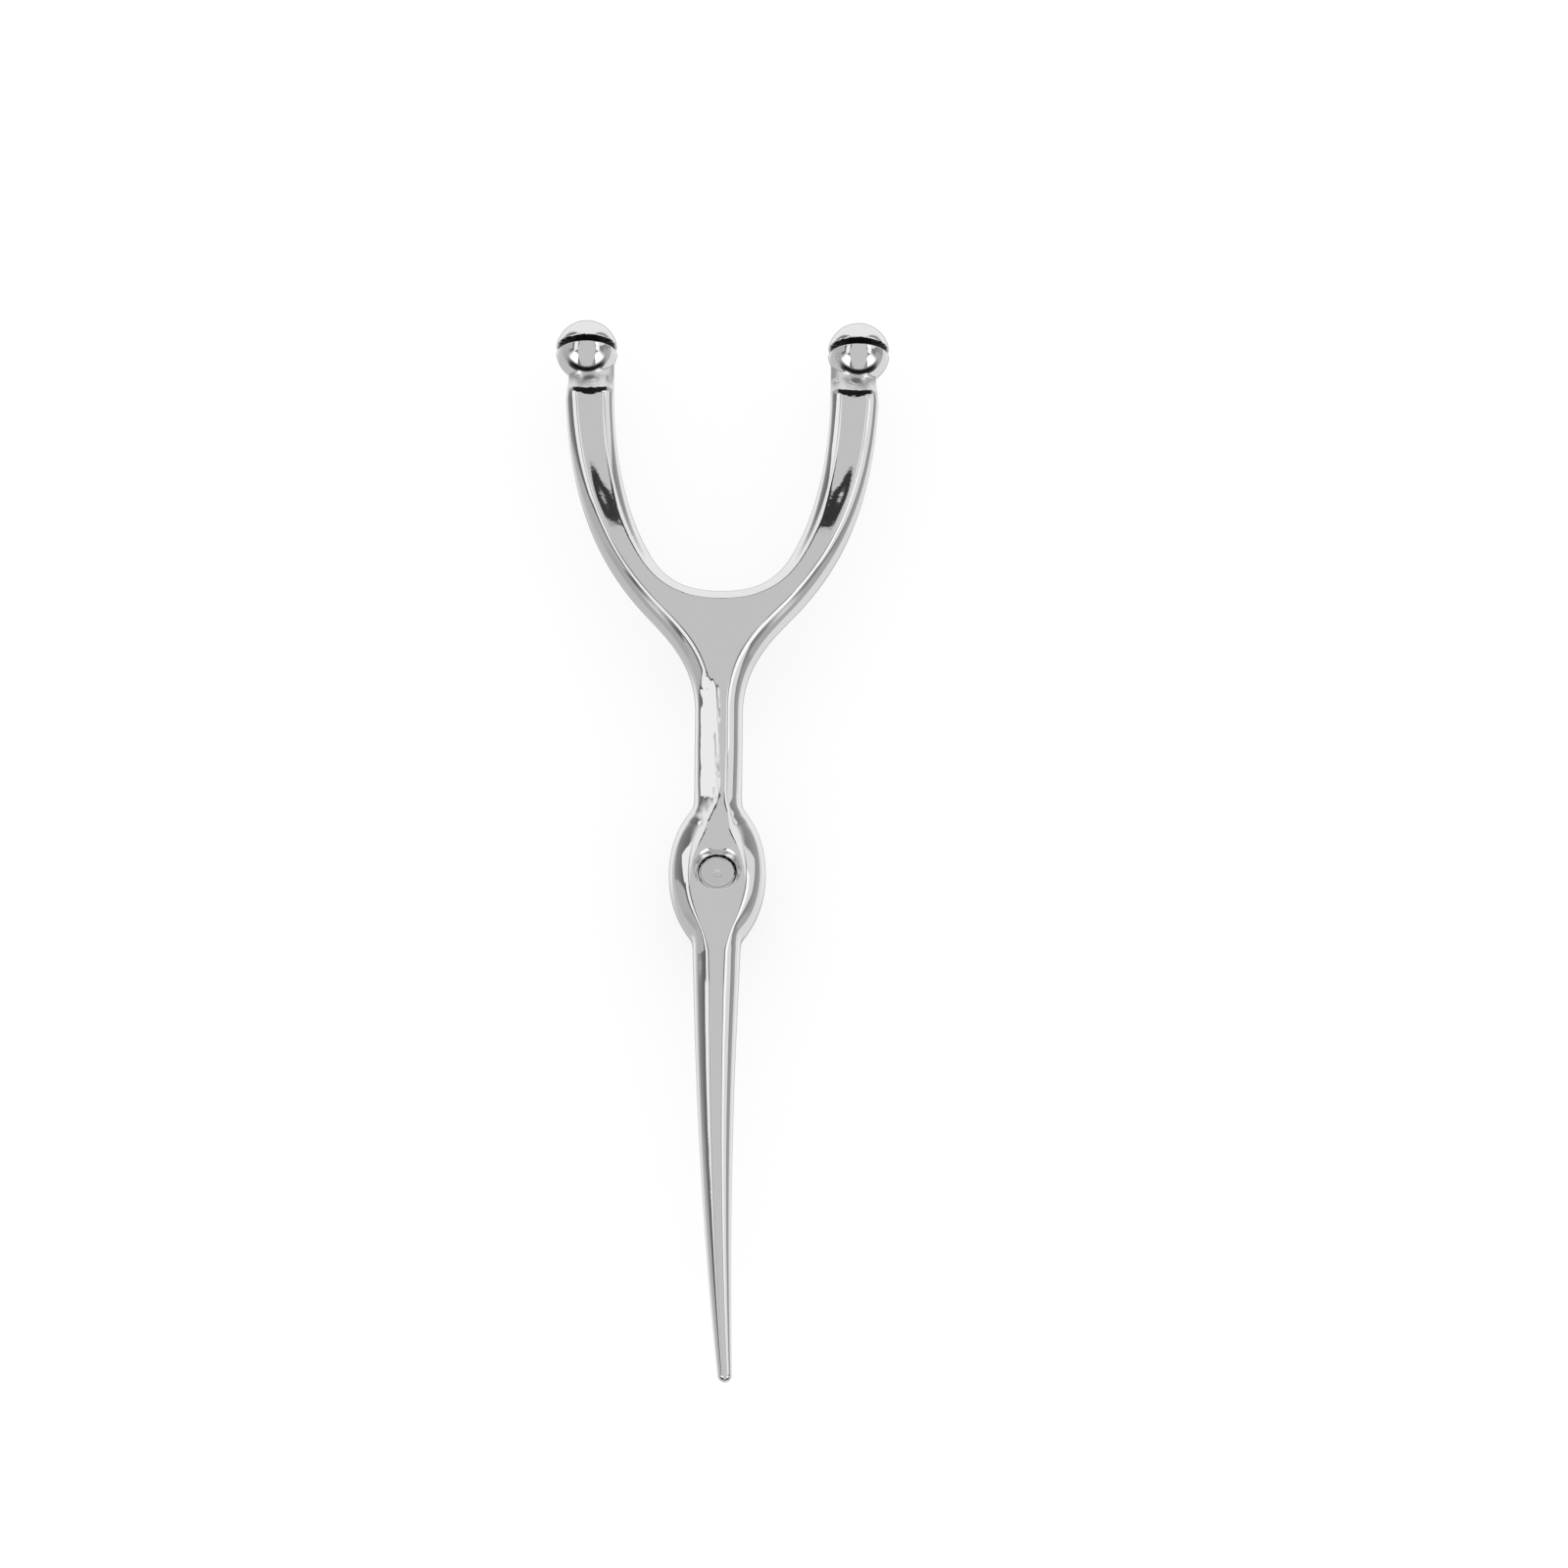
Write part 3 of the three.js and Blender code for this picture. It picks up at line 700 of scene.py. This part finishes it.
def metal(name, colour, roughness, ripple, lathe_marks=0.0, pits=0.0):
    """Bright metal with a fine orange peel, pits and a little change of gloss. Heights are in microns."""
    peel_scale, broad_scale, mark_pitch = 4500, 620, 0.06 * MM
    # the darker colour and roughness that the painted shade and painted dark reflections bring in
    painted_dark_colour, dull_roughness, painted_dark_roughness = (0.02, 0.02, 0.02, 1), 0.36, 0.45
    material = bpy.data.materials.new(name)
    material.use_nodes = True
    tree = material.node_tree
    tree.nodes.clear()
    g = Graph(tree)
    where = g.add("ShaderNodeTexCoord").outputs["Object"]
    peel = g.math("MULTIPLY", g.noise(where, peel_scale, 3, 0.6), ripple)
    broad = g.math("MULTIPLY", g.noise(where, broad_scale, 2, 0.5), 1.5 * ripple)
    height = g.math("ADD", peel, broad)
    if lathe_marks:
        centre = g.add("ShaderNodeCombineXYZ", {0: 0.0, 1: (SCREW_Y + TIP_Y) * MM, 2: 0.0}).outputs[0]
        flat = g.add("ShaderNodeVectorMath", {0: where, 1: (1, 1, 0)}, operation="MULTIPLY").outputs[0]
        radius = g.add("ShaderNodeVectorMath", {0: flat, 1: centre}, operation="DISTANCE").outputs["Value"]
        rings = g.math("SINE", g.math("MULTIPLY", radius, 2 * math.pi / mark_pitch))
        rings = g.math("MULTIPLY", rings, g.noise(where, 900, 2))
        height = g.math("ADD", height, g.math("MULTIPLY", rings, lathe_marks))
    if pits:
        cells = g.add("ShaderNodeTexVoronoi", {"Vector": where, "Scale": 900.0, "Randomness": 1.0})
        few = g.ramp(g.noise(where, 260, 2), 0.6, 0.66)
        pit = g.math("MULTIPLY", g.ramp(cells.outputs["Distance"], 0.1, 0.3, 1.0, 0.0), few)
        height = g.math("SUBTRACT", height, g.math("MULTIPLY", pit, pits))
    normal = g.add("ShaderNodeBump", {"Height": height, "Strength": 1.0, "Distance": 1e-6}).outputs["Normal"]
    patchy = g.noise(where, 480, 4, 0.6)
    gloss = g.ramp(patchy, 0.3, 0.75, roughness * 0.7, roughness * 1.5, "LINEAR")
    # the casting's painted shade and painted dark reflections, read from its vertex values, darken the
    # colour
    shade = g.add("ShaderNodeAttribute", attribute_name="painted_shade_and_reflection").outputs["Fac"]
    dull = g.add("ShaderNodeAttribute", attribute_name="dull").outputs["Fac"]
    tint = g.add("ShaderNodeMix", {0: shade, 6: (*colour, 1), 7: painted_dark_colour}, data_type="RGBA").outputs[2]
    finish = g.mix(shade, g.mix(dull, gloss, dull_roughness), painted_dark_roughness)
    shader = g.add("ShaderNodeBsdfPrincipled", {
        "Base Color": tint, "Metallic": 1.0, "Roughness": finish, "Normal": normal})
    out = g.add("ShaderNodeOutputMaterial")
    tree.links.new(shader.outputs[0], out.inputs["Surface"])
    return material


# ---- Studio ----------------------------------------------------------------------------------------
def direction(azimuth, elevation):
    """Azimuth 0 is the front (-Y), 90 is the right (+X)."""
    a, e = math.radians(azimuth), math.radians(elevation)
    return np.array([math.sin(a) * math.cos(e), -math.cos(a) * math.cos(e), math.sin(e)])


def grey_panel(grow):
    """Corners of the overhead panel, from its rear edge to the horizon in front, for a growth of 0 or 1."""
    corners = []
    # for each edge: tilt forwards from overhead, half width, and how far growing moves it, in degrees
    for tilt, half, moved in ((-33.8, 22, -3.4), (22, 34, 0), (93, 22, 1.5)):
        across = math.radians(half + 1.1 * grow)
        along = math.radians(tilt + grow * moved)
        x = math.sin(across)
        y, z = -math.cos(across) * math.sin(along), math.cos(across) * math.cos(along)
        corners.append((x, y, z))
    return corners + [(-x, y, z) for x, y, z in corners[::-1]]


def make_world():
    """A studio that only the metal sees: panels of light, painted over each other by direction."""
    world = bpy.data.worlds.new("studio")
    bpy.context.scene.world = world
    world.use_nodes = True
    tree = world.node_tree
    tree.nodes.clear()
    g = Graph(tree)
    d = g.add("ShaderNodeTexCoord").outputs["Generated"]
    parts = g.add("ShaderNodeSeparateXYZ", {0: d})
    x, y, z = parts.outputs

    def panel(light, corners, soft):
        """Lays a convex panel over what is there already. soft is one number, or one for each edge."""
        nonlocal level
        c = [np.array(p, float) / np.linalg.norm(p) for p in corners]
        middle = sum(c)
        softness = soft if isinstance(soft, (list, tuple)) else [soft] * len(c)
        mask = None
        for i, s in enumerate(softness):
            m = np.cross(c[i], c[(i + 1) % len(c)])
            m /= np.linalg.norm(m)
            m *= 1 if m @ middle > 0 else -1
            edge = g.ramp(g.dot(d, tuple(m)), -s / 2, s / 2)
            mask = edge if mask is None else g.math("MULTIPLY", mask, edge)
        level = g.mix(mask, level, light)

    def disc(light, centre, radius, soft):
        """Lays a round patch over what is there already, with its radius in degrees."""
        nonlocal level
        c = np.array(centre, float) / np.linalg.norm(centre)
        near = math.cos(math.radians(radius))
        level = g.mix(g.ramp(g.dot(d, tuple(c)), near - soft / 2, near + soft / 2), level, light)

    # the room: darker overhead, lighter on the right
    level = g.ramp(z, -0.2, 0.75, 0.3, 0.13)
    level = g.math("ADD", level, g.ramp(x, 0.0, 0.4, 0.0, 0.1))
    # pale wall on the left, and a duller one at each side further forwards
    left_wall = [(-.72, .36, .60), (-.94, .36, -.05), (-.90, .36, -.35), (-.95, -.1, -.35), (-.80, -.1, .60)]
    panel(0.5, left_wall, 0.05)
    for side in (-1, 1):
        corners = [(.95, -.02, .36), (.95, -.02, -.4), (.8, -.55, -.4), (.8, -.55, .3)]
        panel(0.45, [(side * px, py, pz) for px, py, pz in corners], 0.08)
    # dark stretch in front, between the horizon and the table's edge
    front = [direction(a, e) for a, e in ((-55, -1), (55, -1), (60, -32), (-60, -32))]
    panel(0.05, front, [.03, .3, .03, .3])
    # the table, lighter on the right
    table = g.ramp(g.dot(d, (0.0, -0.24, 1.0)), -0.27, -0.21, 1.0, 0.0)
    level = g.mix(table, level, g.ramp(x, -0.6, 0.6, 0.58, 0.8))
    # the bright rear wall, and the shadow that lies on the table under the holder
    mirrored = g.add("ShaderNodeCombineXYZ", {0: g.math("ABSOLUTE", x), 1: y, 2: z}).outputs[0]
    reach = g.dot(mirrored, (1.0, 0.0, 0.35))
    rear = g.math("MULTIPLY", g.ramp(y, 0.12, 0.42), g.ramp(reach, 0.6, 0.74, 1.0, 0.0))
    level = g.mix(rear, level, 0.93)
    disc(0.5, (0, .433, -.901), 26, 0.16)
    # rear left and rear right panels
    panel(0.98, [(-.43, .64, .64), (-.74, .58, .34), (-.70, .34, .63), (-.43, .34, .84)], 0.02)
    panel(0.98, [(-.43, .38, .81), (-.60, .37, .70), (-.74, -.30, .60), (-.55, -.30, .78)], 0.03)
    panel(0.80, [(.43, .62, .66), (.78, .56, .28), (.90, .2, .39), (.80, .02, .60), (.47, .02, .88)], 0.03)
    bright_right = [(.43, .46, .77), (.60, .42, .68), (.74, -.30, .60), (.55, -.30, .78)]
    panel(1.15, bright_right, [0.03, 0.08, 0.03, 0.03])
    # front left and front right soft boxes
    for side in (-1, 1):
        box = [direction(side * a, e) for a, e in ((31, 8), (62, 8), (66, 38), (40, 40))]
        panel(2.0, box, [0.16, 0.42, 0.22, 0.04])
    # grey overhead panel, widest above the middle, with its dark frame
    for light, grow in ((0.04, 1.0), (0.62, 0.0)):
        panel(light, grey_panel(grow), 0.012)
    # what the camera and the floor see is a plain pale room
    seen = g.add("ShaderNodeLightPath")
    plain = g.math("MAXIMUM", seen.outputs["Is Camera Ray"], seen.outputs["Is Diffuse Ray"])
    level = g.mix(plain, level, 0.98)
    colour = g.add("ShaderNodeCombineColor", {0: level, 1: level, 2: level}).outputs[0]
    background = g.add("ShaderNodeBackground", {"Color": colour, "Strength": 1.0})
    out = g.add("ShaderNodeOutputWorld")
    tree.links.new(background.outputs[0], out.inputs["Surface"])


def make_floor():
    """A plain pale floor, low enough to clear the screw when it is turned out."""
    radius, below = 6.0, 0.0016
    grey, glow_strength = (0.4, 0.4, 0.4, 1), 0.64
    bm = bmesh.new()
    bmesh.ops.create_circle(bm, cap_ends=True, segments=64, radius=radius)
    mesh = bpy.data.meshes.new("floor")
    bm.to_mesh(mesh)
    bm.free()
    floor = bpy.data.objects.new("floor", mesh)
    bpy.context.scene.collection.objects.link(floor)
    floor.location.z = cad_low.z - below
    floor.visible_glossy = False
    material = bpy.data.materials.new("pale_floor")
    material.use_nodes = True
    tree = material.node_tree
    tree.nodes.clear()
    g = Graph(tree)
    diffuse = g.add("ShaderNodeBsdfDiffuse", {"Color": grey})
    glow = g.add("ShaderNodeEmission", {"Color": (1, 1, 1, 1), "Strength": glow_strength})
    both = g.add("ShaderNodeAddShader")
    tree.links.new(diffuse.outputs[0], both.inputs[0])
    tree.links.new(glow.outputs[0], both.inputs[1])
    out = g.add("ShaderNodeOutputMaterial")
    tree.links.new(both.outputs[0], out.inputs["Surface"])
    mesh.materials.append(material)


def make_camera():
    """A long lens from the front and below, a little off square."""
    distance, lens, sensor = 1.5, 503.4, 36.0
    tilt, yaw, roll = math.radians(25.68), math.radians(-0.22), math.radians(0.61)
    middle = (cad_low + cad_high) / 2
    target = Vector((middle.x + 0.0045, middle.y + 0.0048, 0.004))
    back = Vector((math.sin(yaw) * math.cos(tilt), -math.sin(tilt), math.cos(tilt) * math.cos(yaw)))
    back.normalize()
    level_right = Vector((0, math.cos(tilt), math.sin(tilt))).cross(back).normalized()
    level_up = back.cross(level_right)
    right = math.cos(roll) * level_right + math.sin(roll) * level_up
    up = math.cos(roll) * level_up - math.sin(roll) * level_right
    camera = bpy.data.objects.new("camera", bpy.data.cameras.new("camera"))
    bpy.context.scene.collection.objects.link(camera)
    rotation = Matrix((right, up, back)).transposed().to_4x4()
    camera.matrix_world = Matrix.Translation(target + back * distance) @ rotation
    camera.data.sensor_width = sensor
    camera.data.lens = lens
    camera.data.clip_start, camera.data.clip_end = 0.01, 50.0
    bpy.context.scene.camera = camera


# ---- Assembly --------------------------------------------------------------------------------------
plating = metal("plating", (0.84, 0.84, 0.85), roughness=0.035, ripple=1.1, pits=3.0)
turned = metal("turned", (0.78, 0.78, 0.79), roughness=0.16, ripple=0.8, lathe_marks=0.5, pits=4.0)
steel = metal("steel", (0.66, 0.66, 0.67), roughness=0.2, ripple=1.2, lathe_marks=0.6)
# how each piece is made, the body it rides on, the CAD node it replaces, its slot and its material
PIECES = (
    (make_casting, "fork", "fork_body", "bright_plating", plating),
    (make_screw, "screw", "thumb_screw", "turned_metal", turned),
    (make_washer, "washer", "clamp_washer", "washer_steel", steel),
)
for make, body, node, slot, material in PIECES:
    piece = make()
    piece.data.materials.clear()
    piece.data.materials.append(material)
    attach(piece, body)
    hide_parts(node)

make_world()
make_floor()
make_camera()
bpy.context.scene.view_settings.view_transform = "Standard"
